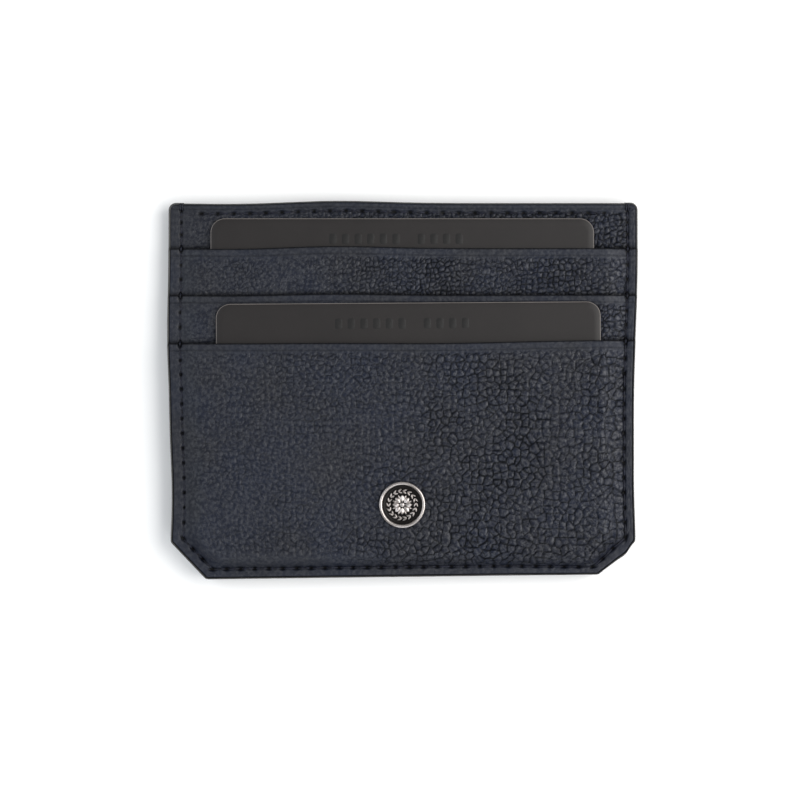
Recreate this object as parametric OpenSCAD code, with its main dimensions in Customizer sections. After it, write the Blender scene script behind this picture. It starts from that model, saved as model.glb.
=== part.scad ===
// Slim leather card holder with three card slots on each face and a note compartment between
// them. It lies on its back: the slots open towards +Y and the front face looks up, along +Z.
// The origin is at the centre of the outline, on the plane that the back rests on.
// Each face is a stack of four lined leather layers. The layers lie flat on each other in the
// seam band along the sides and the bottom, and stand apart in the middle to leave the slots.

/* [Holder] */
// Width of the holder
holder_w = 104; // [103:0.5:110]
// Height of the holder, from its bottom edge to its mouth
holder_h = 83.2; // [82:0.1:88]
// Length of the cut across each bottom corner, measured along the edges
corner_cut = 8.1; // [5:0.1:8.5]
// Radius of the two corners at the mouth
mouth_r = 1.2; // [0.4:0.1:2]

/* [Slots] */
// Distance from the mouth down to the upper slot's edge
first_slot = 9.9; // [8:0.1:11]
// Distance from one slot's edge down to the next
slot_step = 10.5; // [9:0.1:11]
// Height of a card that shows above its slot's edge when it is pushed home
card_show = 6.6; // [6:0.1:8]
// Opening of a slot that holds a card
full_gap = 1.05; // [1.05:0.05:1.5]
// Opening of an empty slot
empty_gap = 0.2; // [0.1:0.05:1]
// Opening of the note compartment
note_gap = 0.4; // [0.2:0.1:2]

/* [Leather and lining] */
// Thickness of the leather beside the note compartment
base_t = 0.5; // [0.4:0.05:1]
// Thickness of the leather of the upper and middle pockets
pocket_t = 0.45; // [0.4:0.05:0.8]
// Thickness of the leather of the outer pocket
outer_t = 0.7; // [0.6:0.05:1.2]
// Thickness of the woven lining behind each leather layer
lining_t = 0.1; // [0.08:0.01:0.2]
// Height of the leather's turned edge above the lining
turned_edge = 1.5; // [1:0.1:3]

/* [Seams] */
// Width of the flat seam band along the sides
side_band = 3; // [3:0.1:3.4]
// Width of the flat seam band along the bottom and the cut corners
end_band = 2.4; // [2.3:0.05:2.5]
// Distance of the side stitches from the edge
side_inset = 2.4; // [2:0.1:2.6]
// Distance of the bottom stitches from the edge
end_inset = 1.8; // [1.5:0.1:1.9]
// Distance of the mouth stitches from the edge
mouth_inset = 1.7; // [1.2:0.1:2.5]
// Length from one stitch to the next along the sides and the bottom
edge_pitch = 3.2; // [2.8:0.1:4]
// Length from one stitch to the next along the mouth
mouth_pitch = 3.6; // [2.8:0.1:4]
// Width of the thread
thread_w = 0.5; // [0.4:0.02:0.6]
// Height of the thread above the leather that it has sunk into
thread_h = 0.1; // [0.06:0.01:0.1]

/* [Badge] */
// Diameter of the round badge
badge_d = 10.3; // [9:0.1:12]
// Height of the badge's centre above the bottom edge
badge_height = 16.1; // [14:0.1:24]
// Number of petals of the badge's rosette
petals = 8; // [6:1:8]
// Number of beads round the rosette
beads = 24; // [12:1:24]

/* [Cards] */
// Width of a standard card
card_w = 85.6; // [85:0.1:86]
// Height of a standard card
card_h = 53.98; // [53.9:0.01:54.1]
// Thickness of a standard card
card_t = 0.76; // [0.5:0.01:0.8]
// Corner radius of a standard card
card_r = 3.18; // [2.9:0.01:3.5]
// Height of the lower card above its home position
lower_lift = 2.1; // [2:0.1:6]
// Distance of the lower card to the right of the middle
lower_shift = 1.5; // [0:0.1:1.5]
// Turn of the lower card in its slot, in degrees
lower_turn = 0.4; // [0:0.1:0.4]

/* [Hidden] */
$fn = 48;
mouth_y = holder_h / 2;
side_x = holder_w / 2;
// Half the width of the middle, where the layers stand apart, and the slopes beside it
middle_x = card_w / 2 + 2.2;
slope_x = side_x - side_band;
end_slope = 2.4;
lowest_floor = -mouth_y + end_band + end_slope;
// Room below a card that is pushed home
home_gap = 0.1;
// A length that reaches past the whole holder
beyond = 1.5 * holder_w;
depth = 1;

leather_t = [base_t, pocket_t, pocket_t, outer_t];
front_gaps = [note_gap / 2, full_gap, empty_gap, full_gap];
back_gaps = [note_gap / 2, empty_gap, empty_gap, empty_gap];
outer = 3;

stitch_share = 0.74;
stitch_margin = 0.4;
floor_row_drop = 1;

rim_w = 0.85;
plate_t = 0.35;
rim_z = 0.53;
field_t = 0.15;
petal_t = 0.3;
bead_t = 0.2;
post_r = 1;
washer_r = 3;
washer_t = 0.3;
fit = 0.02;
field_r = badge_d / 2 - rim_w;
petal_l = field_r * 0.54;
petal_w = field_r * 0.22;
bead_r = 0.16;

leather_colour = [0.13, 0.15, 0.18];
lining_colour = [0.08, 0.09, 0.1];
thread_colour = [0.1, 0.12, 0.2];
nickel_colour = [0.7, 0.68, 0.64];
enamel_colour = [0.09, 0.07, 0.06];
card_colour = [0.22, 0.2, 0.2];

// Sum of the first n values of a list
function total(v, n) = n == 0 ? 0 : v[n - 1] + total(v, n - 1);

// Layers are numbered from the note compartment outwards, 0 to 3. Heights are measured from
// the plane between the two faces. These are the undersides in the seam band and the middle.
function seam_z(layer) = total(leather_t, layer) + layer * lining_t;
function middle_z(layer, gaps) = seam_z(layer) + total(gaps, layer + 1);

// Top edge of a layer, and the height at which a pocket's floor closes it
function top_y(layer) = layer == 0 ? mouth_y : mouth_y - first_slot - (layer - 1) * slot_step;
function home_y(layer) = top_y(layer) + card_show - card_h;
function floor_y(layer) = layer == 0 ? lowest_floor : max(lowest_floor, home_y(layer) - home_gap);

plane_z = middle_z(outer, back_gaps) + lining_t + outer_t;

module front() {
    translate([0, 0, plane_z]) children();
}

module back() {
    translate([0, 0, plane_z]) mirror([0, 0, 1]) children();
}

module both_sides() {
    children();
    mirror([1, 0, 0]) children();
}

// The holder's outline, square at the mouth
module square_outline(top) {
    polygon([
        [-side_x, top], [-side_x, corner_cut - mouth_y], [corner_cut - side_x, -mouth_y],
        [side_x - corner_cut, -mouth_y], [side_x, corner_cut - mouth_y], [side_x, top]
    ]);
}

// The outline with its rounded corners at the mouth
module mouth_outline(drop) {
    difference() {
        square_outline(mouth_y - drop);
        both_sides() translate([side_x - mouth_r, mouth_y - drop - mouth_r])
            difference() {
                square(2 * mouth_r);
                circle(mouth_r);
            }
    }
}

module layer_outline(layer, drop) {
    if (layer == 0) mouth_outline(drop);
    else square_outline(top_y(layer) - drop);
}

// Where a slope from the middle's height down to the seam's, between two places, goes on down
// to the depth at which every solid of under_surface starts
function foot(inner, outer, seam, middle) =
    inner + (outer - inner) * (middle + depth) / (middle - seam);

// Outline of a surface along Y. An inner pocket's floor comes down to the layer below it, which
// stays half a note gap above its seam height until the bottom seam.
function floor_profile(seam, middle, floor) =
    let (low = seam + note_gap / 2, low_end = floor - end_slope)
    low_end > lowest_floor
    ? [
        [foot(lowest_floor, lowest_floor - end_slope, seam, low), -depth], [lowest_floor, low],
        [low_end, low], [floor, middle], [beyond, middle], [beyond, -depth]
    ]
    : [
        [foot(floor, low_end, seam, middle), -depth], [floor, middle],
        [beyond, middle], [beyond, -depth]
    ];

// Everything under a layer's surface: flat in the seam band, higher in the middle, with slopes
// between them along the sides, the floor and the cut corners
module under_surface(seam, middle, floor) {
    side_foot = foot(middle_x, slope_x, seam, middle);
    translate([-beyond / 2, -beyond / 2, -depth]) cube([beyond, beyond, seam + depth]);
    intersection() {
        rotate([90, 0, 0]) linear_extrude(beyond, center = true)
            polygon([
                [-side_foot, -depth], [-middle_x, middle], [middle_x, middle], [side_foot, -depth]
            ]);
        rotate([90, 0, 90]) linear_extrude(beyond, center = true)
            polygon(floor_profile(seam, middle, floor));
        corner_slope(seam, middle);
        mirror([1, 0, 0]) corner_slope(seam, middle);
    }
}

module corner_slope(seam, middle) {
    corner_foot = foot(end_band + end_slope, end_band, seam, middle);
    translate([side_x - corner_cut, -mouth_y, 0]) rotate([0, 0, 135]) rotate([90, 0, 0])
        linear_extrude(beyond, center = true)
            polygon([
                [corner_foot, -depth], [end_band + end_slope, middle],
                [beyond, middle], [beyond, -depth]
            ]);
}

// A sheet of thickness t, at a height above the underside of its layer
module sheet(layer, gaps, height, t, drop = 0) {
    seam = seam_z(layer) + height;
    middle = middle_z(layer, gaps) + height;
    intersection() {
        translate([0, 0, -depth]) linear_extrude(middle + t + 2 * depth)
            layer_outline(layer, drop);
        difference() {
            under_surface(seam + t, middle + t, floor_y(layer));
            under_surface(seam, middle, floor_y(layer));
        }
    }
}

module leather(layer, gaps) {
    color(leather_colour) sheet(layer, gaps, lining_t, leather_t[layer]);
}

module lining(layer, gaps) {
    color(lining_colour) sheet(layer, gaps, 0, lining_t, turned_edge);
}

module front_base_panel() { front() leather(0, front_gaps); }
module front_compartment_lining() { front() lining(0, front_gaps); }
module front_upper_pocket() { front() leather(1, front_gaps); }
module front_upper_pocket_lining() { front() lining(1, front_gaps); }
module front_middle_pocket() { front() leather(2, front_gaps); }
module front_middle_pocket_lining() { front() lining(2, front_gaps); }
module front_outer_pocket_lining() { front() lining(outer, front_gaps); }
module back_base_panel() { back() leather(0, back_gaps); }
module back_compartment_lining() { back() lining(0, back_gaps); }
module back_upper_pocket() { back() leather(1, back_gaps); }
module back_upper_pocket_lining() { back() lining(1, back_gaps); }
module back_middle_pocket() { back() leather(2, back_gaps); }
module back_middle_pocket_lining() { back() lining(2, back_gaps); }
module back_outer_pocket() { back() leather(outer, back_gaps); }
module back_outer_pocket_lining() { back() lining(outer, back_gaps); }

// The front's outer leather has a hole for the badge's post and a recess for its washer
module front_outer_pocket() {
    difference() {
        front() leather(outer, front_gaps);
        at_badge() rotate_extrude() {
            translate([0, -outer_t - 1]) square([post_r + fit, outer_t + 2]);
            translate([0, -outer_t - 1]) square([washer_r + fit, washer_t + 1]);
        }
    }
}

// One stitch along X: the part of a round thread that stands above the leather, on z = 0
module stitch(length) {
    round_r = (thread_w * thread_w / 4 + thread_h * thread_h) / (2 * thread_h);
    rotate([90, 0, 90]) linear_extrude(length, center = true)
        intersection() {
            translate([0, thread_h - round_r]) circle(round_r);
            translate([-thread_w, 0]) square([2 * thread_w, thread_w]);
        }
}

// A straight row of stitches from p to q
module stitch_row(p, q, pitch) {
    run = q - p;
    count = max(1, round(norm(run) / pitch));
    for (i = [0 : count - 1])
        translate(p + run * (i + 0.5) / count) rotate([0, 0, atan2(run[1], run[0])])
            stitch(norm(run) / count * stitch_share);
}

// Surface of a layer in the seam band
function band_z(layer) = seam_z(layer + 1);

// Stitches through the whole seam: a row down each side in every layer's own stretch, then
// across the cut corners and along the bottom
module edge_stitches() {
    x = side_x - side_inset;
    bottom = end_inset - mouth_y;
    cut_inset = (side_inset + end_inset) / 2 * sqrt(2);
    reach = side_x + mouth_y - corner_cut - cut_inset;
    both_sides() {
        for (layer = [0 : outer - 1])
            stitch_row(
                [x, top_y(layer) - stitch_margin, band_z(layer)],
                [x, top_y(layer + 1) + stitch_margin, band_z(layer)], edge_pitch);
        stitch_row(
            [x, top_y(outer) - stitch_margin, band_z(outer)],
            [x, x - reach, band_z(outer)], edge_pitch);
        stitch_row(
            [x, x - reach, band_z(outer)],
            [bottom + reach, bottom, band_z(outer)], edge_pitch);
    }
    stitch_row(
        [-bottom - reach, bottom, band_z(outer)],
        [bottom + reach, bottom, band_z(outer)], edge_pitch);
}

// Stitches along the mouth, through one face only
module mouth_stitches(gaps) {
    z = middle_z(0, gaps) + lining_t + base_t;
    y = mouth_y - mouth_inset;
    stitch_row([-middle_x, y, z], [middle_x, y, z], mouth_pitch);
}

// Rows that close the floors of the upper and middle pockets
module floor_stitches() {
    for (layer = [1 : outer - 1]) {
        y = floor_y(layer) - end_slope - floor_row_drop;
        z = band_z(layer) + note_gap / 2;
        stitch_row([-middle_x, y, z], [middle_x, y, z], edge_pitch);
    }
}

module front_edge_stitching() { color(thread_colour) front() edge_stitches(); }
module back_edge_stitching() { color(thread_colour) back() edge_stitches(); }
module front_mouth_stitching() { color(thread_colour) front() mouth_stitches(front_gaps); }
module back_mouth_stitching() { color(thread_colour) back() mouth_stitches(back_gaps); }
module front_floor_stitching() { color(thread_colour) front() floor_stitches(); }
module back_floor_stitching() { color(thread_colour) back() floor_stitches(); }

// Places a thing on the front's outer leather, at the badge's centre
module at_badge() {
    z = middle_z(outer, front_gaps) + lining_t + outer_t;
    front() translate([0, badge_height - mouth_y, z]) children();
}

// A dished plate with a rounded rim and a post that goes through the leather
module badge_rim() {
    rim_r = rim_w / 2;
    color(nickel_colour) at_badge() {
        rotate_extrude() {
            square([badge_d / 2, plate_t]);
            translate([badge_d / 2 - rim_w, 0]) square([rim_w, rim_z]);
            translate([badge_d / 2 - rim_r, rim_z]) circle(rim_r);
        }
        translate([0, 0, -outer_t]) cylinder(h = outer_t + plate_t / 2, r = post_r);
    }
}

module badge_field() {
    color(enamel_colour) at_badge()
        translate([0, 0, plate_t]) cylinder(h = field_t, r = field_r - fit);
}

// A pointed petal: the overlap of two circles
module petal() {
    bend_r = (petal_l * petal_l + petal_w * petal_w) / (4 * petal_w);
    intersection() {
        translate([0, bend_r - petal_w / 2]) circle(bend_r);
        translate([0, petal_w / 2 - bend_r]) circle(bend_r);
    }
}

module badge_rosette() {
    color(nickel_colour) at_badge() translate([0, 0, plate_t + field_t]) {
        cylinder(h = petal_t, r = field_r * 0.17);
        for (i = [0 : petals - 1]) rotate([0, 0, i * 360 / petals])
            translate([field_r * 0.49, 0, 0]) linear_extrude(petal_t) petal();
        for (i = [0 : beads - 1]) rotate([0, 0, (i + 0.5) * 360 / beads])
            translate([field_r * 0.89, 0, 0]) cylinder(h = bead_t, r = bead_r);
    }
}

module badge_washer() {
    color(nickel_colour) at_badge() translate([0, 0, -outer_t])
        difference() {
            cylinder(h = washer_t, r = washer_r);
            translate([0, 0, -1]) cylinder(h = washer_t + 2, r = post_r + fit);
        }
}

// A standard card, centred, with its underside on z = 0
module card() {
    color(card_colour) linear_extrude(card_t) {
        square([card_w - 2 * card_r, card_h], center = true);
        square([card_w, card_h - 2 * card_r], center = true);
        for (x = [-1, 1], y = [-1, 1])
            translate([x * (card_w / 2 - card_r), y * (card_h / 2 - card_r)]) circle(card_r);
    }
}

// Places a card in the slot behind a layer, at a height above home
module in_slot(layer, lift) {
    z = middle_z(layer, front_gaps) - (full_gap + card_t) / 2;
    front() translate([0, home_y(layer) + card_h / 2 + lift, z]) children();
}

module upper_card() {
    in_slot(1, 0) card();
}

module lower_card() {
    in_slot(outer, lower_lift) translate([lower_shift, 0, 0]) rotate([0, 0, lower_turn]) card();
}

front_base_panel();
front_compartment_lining();
front_upper_pocket();
front_upper_pocket_lining();
front_middle_pocket();
front_middle_pocket_lining();
front_outer_pocket();
front_outer_pocket_lining();
back_base_panel();
back_compartment_lining();
back_upper_pocket();
back_upper_pocket_lining();
back_middle_pocket();
back_middle_pocket_lining();
back_outer_pocket();
back_outer_pocket_lining();
front_edge_stitching();
back_edge_stitching();
front_mouth_stitching();
back_mouth_stitching();
front_floor_stitching();
back_floor_stitching();
badge_rim();
badge_field();
badge_rosette();
badge_washer();
upper_card();
lower_card();
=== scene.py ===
"""Looks of the card holder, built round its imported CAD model.

Lengths are millimetres, and become metres where a mesh is made. Every leather layer is a height
field over the holder's outline: it lies flat in the seam band, stands apart in the middle, and
has pebbled grain, creases, seam channels and needle holes.
"""

import math

import bpy
import numpy as np
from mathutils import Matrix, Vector


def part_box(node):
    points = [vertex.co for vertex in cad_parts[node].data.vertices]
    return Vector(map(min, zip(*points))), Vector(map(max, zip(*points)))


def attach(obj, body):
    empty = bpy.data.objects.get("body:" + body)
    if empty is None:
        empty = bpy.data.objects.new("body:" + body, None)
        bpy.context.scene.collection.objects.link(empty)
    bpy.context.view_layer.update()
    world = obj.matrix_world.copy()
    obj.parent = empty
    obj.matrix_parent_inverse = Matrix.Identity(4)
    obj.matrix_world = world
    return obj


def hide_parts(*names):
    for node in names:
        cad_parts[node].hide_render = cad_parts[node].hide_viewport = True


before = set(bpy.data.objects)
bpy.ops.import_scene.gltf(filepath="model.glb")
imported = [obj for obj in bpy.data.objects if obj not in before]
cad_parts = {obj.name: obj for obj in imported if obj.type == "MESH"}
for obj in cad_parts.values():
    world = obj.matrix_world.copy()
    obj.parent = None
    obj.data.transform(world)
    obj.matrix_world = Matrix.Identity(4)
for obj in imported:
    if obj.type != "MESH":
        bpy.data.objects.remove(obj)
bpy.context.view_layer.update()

MM = 0.001


def box_mm(node):
    """Lowest and highest corner of a CAD node, in millimetres."""
    low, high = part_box(node)
    return np.array(low) / MM, np.array(high) / MM


# ---- sizes from the frame

SIDE_X, MOUTH_Y, _ = box_mm("front_base_panel")[1]
PLANE_Z = box_mm("front_compartment_lining")[0][2]
UPPER_LOW, UPPER_HIGH = box_mm("upper_card")
CARD_W, CARD_H, CARD_T = UPPER_HIGH - UPPER_LOW

# ---- sizes that the boxes don't show

CORNER_CUT = 8.1  # across each bottom corner, measured along the edges
MOUTH_R = 1.2  # the two corners at the mouth
SIDE_BAND = 3.0  # the flat seam band along the sides
END_BAND = 2.1  # the same along the bottom and the cut corners
END_SLOPE = 2.7  # from that band in to where the layers stand fully apart
MIDDLE_X = CARD_W / 2 + 2.2
SLOPE_X = SIDE_X - SIDE_BAND
LOWEST_FLOOR = -MOUTH_Y + END_BAND + END_SLOPE
SIDE_INSET = 2.4  # from the stitches to the sides
END_INSET = 1.8  # from the stitches to the bottom edge
MOUTH_INSET = 1.9  # from the stitches to the mouth
EDGE_PITCH = 3.2
MOUTH_PITCH = 3.6
CARD_R = 3.18
LOWER_TURN = math.radians(0.4)

SEAM_STEP = 0.15  # of the leather's mesh along its seams and edges
GRAIN_STEP = 0.22  # of the mesh, where the leather shows
POCKET_GRAIN_STEP = 0.268  # the same on the larger outer pockets
HIDDEN_STEP = 1.2
LINING_STEP = 1.6
LINING_SEAM_STEP = 0.45
SEAM_REACH = 14.0  # how far in from the seams hidden sides keep a finer mesh
OUTER = 3  # the outer pocket's place in a face's stack; the base panel is 0


# ---- small maths

LATTICE = 256


def smooth(t):
    """0 below 0, 1 above 1, and an even S between."""
    t = np.clip(t, 0.0, 1.0)
    return t * t * (3 - 2 * t)


def slope(t):
    """0 below 0, 1 above 1, and between them an even slope that is rounded off at its top."""
    t = np.clip(t, 0.0, 1.0)
    return np.where(t < 0.7, 1.176 * t, 1 - 1.96 * (1 - t) ** 2)


def bell(d, width):
    """1 at 0, falling off evenly to both sides."""
    return np.exp(-((d / width) ** 2))


def bump(at, shape):
    """A bell given by its height, its centre and its width."""
    height, centre, width = shape
    return height * bell(at - centre, width)


def turned(points, angle):
    """The points turned about Z."""
    c, s = math.cos(angle), math.sin(angle)
    out = points.copy()
    out[:, 0] = points[:, 0] * c - points[:, 1] * s
    out[:, 1] = points[:, 0] * s + points[:, 1] * c
    return out


def lattice(seed):
    return np.random.default_rng(seed).random((LATTICE, LATTICE))


def value_noise(x, y, cell, seed):
    """Smooth noise from 0 to 1 with features of about one cell."""
    grid = lattice(seed)
    gx, gy = x / cell, y / cell
    ix, iy = np.floor(gx).astype(int), np.floor(gy).astype(int)
    fx, fy = smooth(gx - ix), smooth(gy - iy)
    ix, iy, jx, jy = ix % LATTICE, iy % LATTICE, (ix + 1) % LATTICE, (iy + 1) % LATTICE
    low = grid[ix, iy] * (1 - fx) + grid[jx, iy] * fx
    high = grid[ix, jy] * (1 - fx) + grid[jx, jy] * fx
    return low * (1 - fy) + high * fy


def pebbles(u, v, seed):
    """Irregular pebbles, about one to a unit cell: how far a point is from the crease round its
    pebble, and two numbers that stay the same over each crease and over each pebble."""
    jitter_x, jitter_y, kind = lattice(seed), lattice(seed + 1), lattice(seed + 2)
    cu = np.floor(u).astype(int) + np.repeat((-1, 0, 1), 3)[:, None, None]
    cv = np.floor(v).astype(int) + np.tile((-1, 0, 1), 3)[:, None, None]
    at = (cu % LATTICE, cv % LATTICE)
    pu, pv = cu + 0.1 + 0.8 * jitter_x[at], cv + 0.1 + 0.8 * jitter_y[at]
    away = (pu - u) ** 2 + (pv - v) ** 2
    two = np.argsort(away, axis=0, kind="stable")[:2]
    away, pu, pv, kind = (np.take_along_axis(a, two, 0) for a in (away, pu, pv, kind[at]))
    apart = np.hypot(pu[0] - pu[1], pv[0] - pv[1])
    edge = (away[1] - away[0]) / (2 * np.maximum(apart, 1e-6))
    return edge, np.abs(np.sin(43.0 * (kind[0] + kind[1]))), kind[0]


# ---- the holder's shape


def half_width(y):
    """Half the outline's width: straight sides, cut bottom corners."""
    return np.minimum(SIDE_X, SIDE_X - CORNER_CUT + (y + MOUTH_Y))


def mouth_half_width(y):
    """The same with the rounded corners at the mouth."""
    over = np.clip(y - (MOUTH_Y - MOUTH_R), 0, MOUTH_R)
    return half_width(y) - MOUTH_R + np.sqrt(MOUTH_R**2 - over**2)


def cut_distance(x, y):
    """Distance inside the line of the cut corners."""
    return (SIDE_X + MOUTH_Y - CORNER_CUT - np.abs(x) + y) / math.sqrt(2)


def edge_distance(x, y):
    """Distance inside the sides, the cut corners and the bottom edge."""
    return np.minimum(np.minimum(SIDE_X - np.abs(x), y + MOUTH_Y), cut_distance(x, y))


# Where the settled sides stand, and the shifts of the settled leather as bumps
LEFT_STAND = 51.8
LEFT_BULGE = (0.25, 12, 12)
LEFT_WAIST = (-0.85, -24, 15)
LEFT_TUCK = (-0.2, 0, 9)
RIGHT_STAND = 52.18
RIGHT_DRAW = 0.95
RIGHT_FLARE = 0.35
SEAM_PULL = (0.6, SIDE_X - SIDE_INSET, 1.3)
LEFT_CORNER = (-0.35, -34, 3.5)
RIGHT_CORNER = (-0.8, -38.4, 3.7)
SLOT_TILT = (0.7, 10.7, 7)
MOUTH_BOW = (0.5, -14, 14)
MOUTH_DIP = (-0.2, -38, 12)
BOTTOM_LIFT = 0.2
BOTTOM_TILT = 0.0125
RIGHT_LIFT = 0.26
SHRUNK = 0.9965


def left_side(y):
    """How far the left side stands from the middle line, drawn in at the waist."""
    return LEFT_STAND + bump(y, LEFT_BULGE) + bump(y, LEFT_WAIST) + bump(y, LEFT_TUCK)


def right_side(y):
    """The same for the right side, drawn in below the slots and a little wider at the bottom."""
    return RIGHT_STAND - RIGHT_DRAW * smooth((31 - y) / 36) + RIGHT_FLARE * smooth((-20 - y) / 15)


def settle(x, y):
    """Where the settled leather lies: its sides draw in, the bottom edge and the outer slot's
    edge run a little askew, and the mouth bows up."""
    side = np.where(x < 0, left_side(y), right_side(y))
    low = smooth((-33 - y) / 8.5)
    right_end = smooth((x - 20) / 25)
    left_end = smooth((-35 - x) / 12)
    askew = (BOTTOM_LIFT + BOTTOM_TILT * x) * low
    askew = askew + (RIGHT_LIFT * low + bump(y, RIGHT_CORNER)) * right_end
    askew = askew + bump(y, LEFT_CORNER) * left_end
    askew = askew + bump(y, SLOT_TILT) * (smooth((x - 2) / 45) - 0.5)
    bow = (bump(x, MOUTH_BOW) + bump(x, MOUTH_DIP)) * smooth((y - 2) / 34)
    return x * side / SIDE_X + bump(x, SEAM_PULL), SHRUNK * y + askew + bow


# How much higher the base panel stands in its middle than in the seam, to leave room for notes
NOTE_RISE = box_mm("front_compartment_lining")[1][2] - box_mm("front_base_panel")[0][2]
CROWN = 0.2
CROWN_REACH = 14.0
SWELL = 0.16
SWELL_CELL = 17.0
HOME_GAP = 0.1


class Layer:
    """One lined leather layer. Heights are above the plane between the two faces."""

    def __init__(self, face, index, node, lining, floor):
        self.face, self.index, self.node, self.lining, self.floor = face, index, node, lining, floor
        self.sign = 1 if face == "front" else -1
        leather, cloth = self.heights(node), self.heights(lining)
        self.top_y = box_mm(node)[1][1]
        self.t = leather[1] - cloth[1]
        self.lining_t = leather[0] - cloth[0]
        self.under_seam = leather[0]
        self.under_middle = cloth[1]
        self.covered_to = None

    def heights(self, node):
        """Lowest and highest height of a CAD node."""
        return sorted((corner[2] - PLANE_Z) * self.sign for corner in box_mm(node))

    def under(self, x, y):
        """Height of the leather's inner side."""
        sides = slope((SLOPE_X - np.abs(x)) / (SLOPE_X - MIDDLE_X))
        sides = sides * slope((cut_distance(x, y) - END_BAND) / END_SLOPE)
        bottom = slope((y - LOWEST_FLOOR + END_SLOPE) / END_SLOPE)
        pocket = slope((y - self.floor + END_SLOPE) / END_SLOPE)
        rise = self.under_middle - self.under_seam - NOTE_RISE
        height = self.under_seam + sides * (NOTE_RISE * bottom + rise * pocket)
        return height + self.swell(x, y) * sides * pocket

    def swell(self, x, y):
        """Unevenness of the front's outer pocket over the card, always away from the card."""
        if (self.face, self.index) != ("front", OUTER):
            return 0.0
        crown = CROWN * (1 - (x / MIDDLE_X) ** 2) * smooth((y - LOWEST_FLOOR) / CROWN_REACH)
        return np.maximum(crown, 0) + SWELL * value_noise(x, y, SWELL_CELL, 5)

    def z(self, height):
        return PLANE_Z + self.sign * height

    def inner_z(self, x, y):
        """Z of the leather's inner side."""
        return self.z(self.under(x, y))

    def lining_z(self, x, y):
        """The same for the inner side of its lining."""
        return self.z(self.under(x, y) - self.lining_t)


def make_layers(face):
    """The four layers of one face, from the base panel out."""
    names = ("base_panel", "upper_pocket", "middle_pocket", "outer_pocket")
    linings = ("compartment_lining", *(f"{name}_lining" for name in names[1:]))
    upper_top = box_mm("front_upper_pocket")[1][1]
    layers = []
    for i, (name, lining) in enumerate(zip(names, linings)):
        node = f"{face}_{name}"
        drop = upper_top - box_mm(node)[1][1]
        floor = LOWEST_FLOOR if i == 0 else max(LOWEST_FLOOR, UPPER_LOW[1] - HOME_GAP - drop)
        layers.append(Layer(face, i, node, f"{face}_{lining}", floor))
    for layer, upper in zip(layers, layers[1:]):
        layer.covered_to = upper.top_y
    return layers


LAYERS = {face: make_layers(face) for face in ("front", "back")}


# ---- stitches

LEFT_HOLES = 0.68  # the left seam's needle holes are smaller
FIRST_HOLE = 1.3  # from the mouth to the side seams' first holes
STEP_REACH = 0.5  # from a slot's edge to the seam's nearest holes


def row(p, q, pitch):
    """Needle holes of one straight row of stitches."""
    p, q = np.array(p, float), np.array(q, float)
    count = max(1, round(float(np.linalg.norm(q - p)) / pitch))
    return [p + (q - p) * i / count for i in range(count + 1)]


def slits(points):
    """The same holes, each with the direction of its row and its own size."""
    run = points[-1] - points[0]
    run = run / np.linalg.norm(run)
    grow = np.random.default_rng(len(points)).uniform(0.75, 1.2, len(points))
    if points[0][0] < -SLOPE_X and points[-1][0] < -SLOPE_X:
        grow = grow * LEFT_HOLES
    return [(*p, *run, g) for p, g in zip(points, grow)]


def edge_rows(tops):
    """Rows of holes down the sides, across the cut corners and along the bottom, each with the
    index of the layer that it lies on."""
    x = SIDE_X - SIDE_INSET
    bottom = END_INSET - MOUTH_Y
    reach = SIDE_X + MOUTH_Y - CORNER_CUT - (SIDE_INSET + END_INSET) / math.sqrt(2)
    rows = []
    for side in (-1, 1):
        for i in range(OUTER):
            start = (side * x, tops[i] - (FIRST_HOLE if i == 0 else STEP_REACH))
            rows.append((i, row(start, (side * x, tops[i + 1] + STEP_REACH), EDGE_PITCH)))
        top = (side * x, tops[OUTER] - STEP_REACH)
        turn, foot = (side * x, x - reach), (side * (bottom + reach), bottom)
        rows.append((OUTER, row(top, turn, EDGE_PITCH)))
        rows.append((OUTER, row(turn, foot, EDGE_PITCH)))
    rows.append((OUTER, row((-bottom - reach, bottom), (bottom + reach, bottom), EDGE_PITCH)))
    return rows


def mouth_row():
    """Holes of the row along the mouth."""
    y = MOUTH_Y - MOUTH_INSET
    return row((-MIDDLE_X, y), (MIDDLE_X, y), MOUTH_PITCH)


def floor_rows(layers):
    """Hidden rows that close the floors of the two inner pockets."""
    rows = []
    for i in (1, 2):
        y = layers[i].floor - END_SLOPE - 1
        rows.append((i, row((-MIDDLE_X, y), (MIDDLE_X, y), EDGE_PITCH)))
    return rows


# ---- meshes


def make_piece(name, shape, material, node_names, body="holder", relief=None, settled=True):
    """A piece in metres, from points and faces, that rides on a body and stands for CAD nodes."""
    points, faces = np.array(shape[0]), shape[1]
    if settled:
        points[:, 0], points[:, 1] = settle(points[:, 0], points[:, 1])
    mesh = bpy.data.meshes.new(name)
    mesh.from_pydata((points * MM).tolist(), [], faces)
    if relief is not None:
        colours = mesh.color_attributes.new("relief", "FLOAT_COLOR", "POINT")
        colours.data.foreach_set("color", np.asarray(relief, np.float32).ravel())
    mesh.update()
    mesh.shade_smooth()
    mesh.set_sharp_from_angle(angle=math.radians(55))
    mesh.materials.append(material)
    piece = bpy.data.objects.new(name, mesh)
    bpy.context.scene.collection.objects.link(piece)
    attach(piece, body)
    if node_names:
        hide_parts(*node_names)
    return piece


def zip_strips(outer, inner):
    """Triangles between two polylines of vertex numbers that run side by side."""
    last_i, last_k = len(outer) - 1, len(inner) - 1
    faces, i, k = [], 0, 0
    while (i, k) != (last_i, last_k):
        if k == last_k or (i < last_i and (i + 1) / last_i <= (k + 1) / last_k):
            faces.append((outer[i], outer[i + 1], inner[k]))
            i += 1
        else:
            faces.append((outer[i], inner[k + 1], inner[k]))
            k += 1
    return faces


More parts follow.
